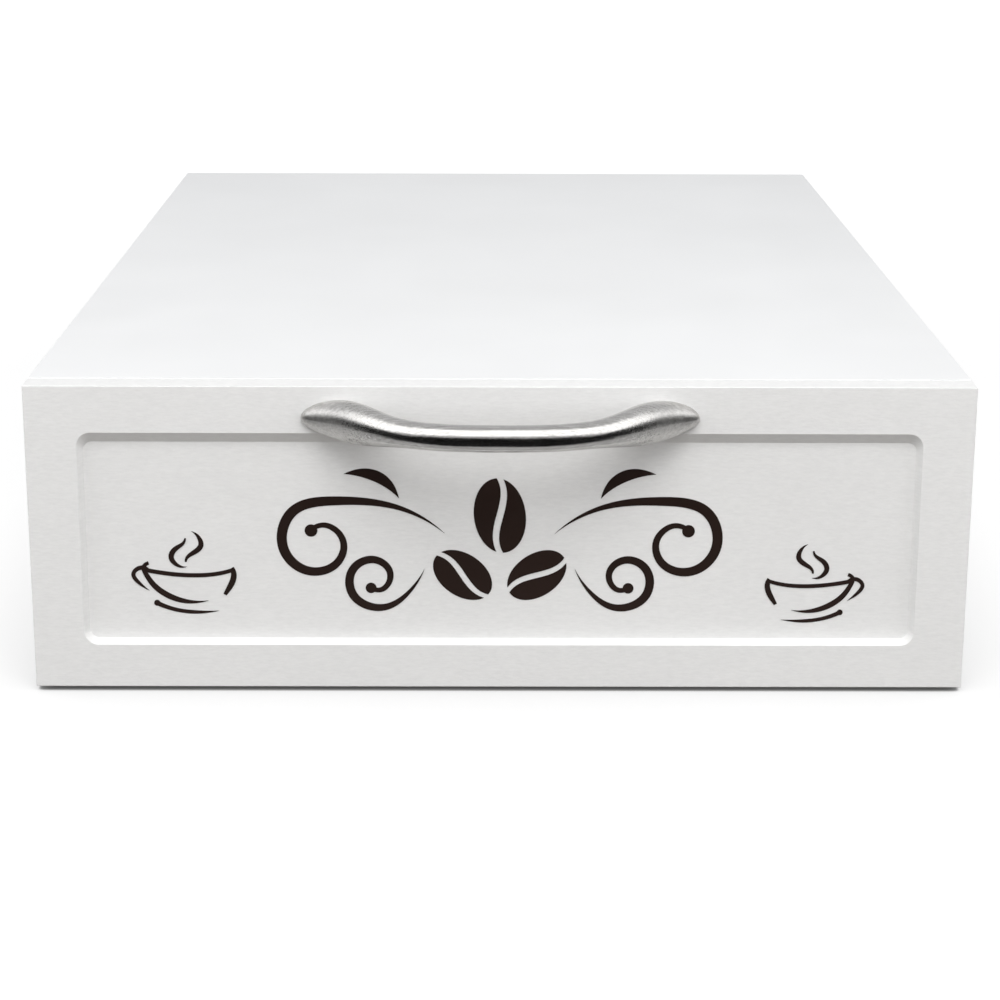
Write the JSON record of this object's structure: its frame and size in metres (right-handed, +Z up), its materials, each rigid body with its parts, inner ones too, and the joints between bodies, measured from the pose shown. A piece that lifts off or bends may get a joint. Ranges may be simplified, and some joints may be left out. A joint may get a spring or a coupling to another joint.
{
  "type": "coffee pod drawer",
  "caption": "Low white lacquered cabinet with one full-width drawer on ball-bearing slides, divided into lanes for coffee pods; its flat top carries a coffee machine.",
  "frame": {"origin": "on the worktop, at the centre of the overall footprint with the handle included and the drawer closed", "axes": "+Z up; the drawer opens along -Y, so its front and handle face -Y; +X is to the right of someone facing the drawer"},
  "size_m": [0.3, 0.481, 0.1015],
  "materials": {
    "white_lacquer": "satin white lacquer on MDF",
    "front_lacquer": "satin white lacquer on MDF, fine horizontal brush grain",
    "pad_rubber": "matte",
    "bumper_felt": "soft clear-white polyurethane",
    "beech": "plain beech",
    "zinc": "bright zinc plated",
    "satin_nickel": "satin brushed nickel",
    "birch_ply": "clear-sealed birch plywood",
    "floor_sheet": "thin sealed plywood",
    "slide_steel": "zinc-plated rolled steel",
    "cage_steel": "thin pressed steel",
    "ball_steel": "polished",
    "brown_print": "flat dark brown film"
  },
  "bodies": {
    "cabinet": {"top_board": "white_lacquer", "bottom_board": "white_lacquer", "back_board": "white_lacquer", "left_side_board": "white_lacquer", "right_side_board": "white_lacquer", "rubber_pads": "pad_rubber", "top_dowels": "beech", "base_screws": "zinc", "left_outer_rail": "slide_steel", "right_outer_rail": "slide_steel", "outer_rail_screws": "zinc"},
    "drawer": {"drawer_front": "front_lacquer", "front_bumpers": "bumper_felt", "front_screws": "zinc", "handle": "satin_nickel", "handle_screws": "zinc", "box_front": "birch_ply", "box_back": "birch_ply", "left_box_side": "birch_ply", "right_box_side": "birch_ply", "box_floor": "floor_sheet", "box_screws": "zinc", "lane_divider_1": "birch_ply", "lane_divider_2": "birch_ply", "lane_divider_3": "birch_ply", "left_inner_rail": "slide_steel", "right_inner_rail": "slide_steel", "inner_rail_screws": "zinc", "left_cup_transfer": "brown_print", "right_cup_transfer": "brown_print", "centre_ornament": "brown_print"},
    "left_cage": {"left_ball_cage": "cage_steel", "left_slide_balls": "ball_steel"},
    "right_cage": {"right_ball_cage": "cage_steel", "right_slide_balls": "ball_steel"}
  },
  "joints": [
    {"name": "drawer_slide", "type": "slide", "parent": "cabinet", "child": "drawer", "axis": [0, -1, 0], "range_m": [0, 0.3]},
    {"name": "left_cage_slide", "type": "slide", "parent": "cabinet", "child": "left_cage", "axis": [0, -1, 0], "range_m": [0, 0.15]},
    {"name": "right_cage_slide", "type": "slide", "parent": "cabinet", "child": "right_cage", "axis": [0, -1, 0], "range_m": [0, 0.15]}
  ],
  "couplings": [
    {"joint": "left_cage_slide", "follows": "drawer_slide", "ratio": 0.5},
    {"joint": "right_cage_slide", "follows": "drawer_slide", "ratio": 0.5}
  ]
}
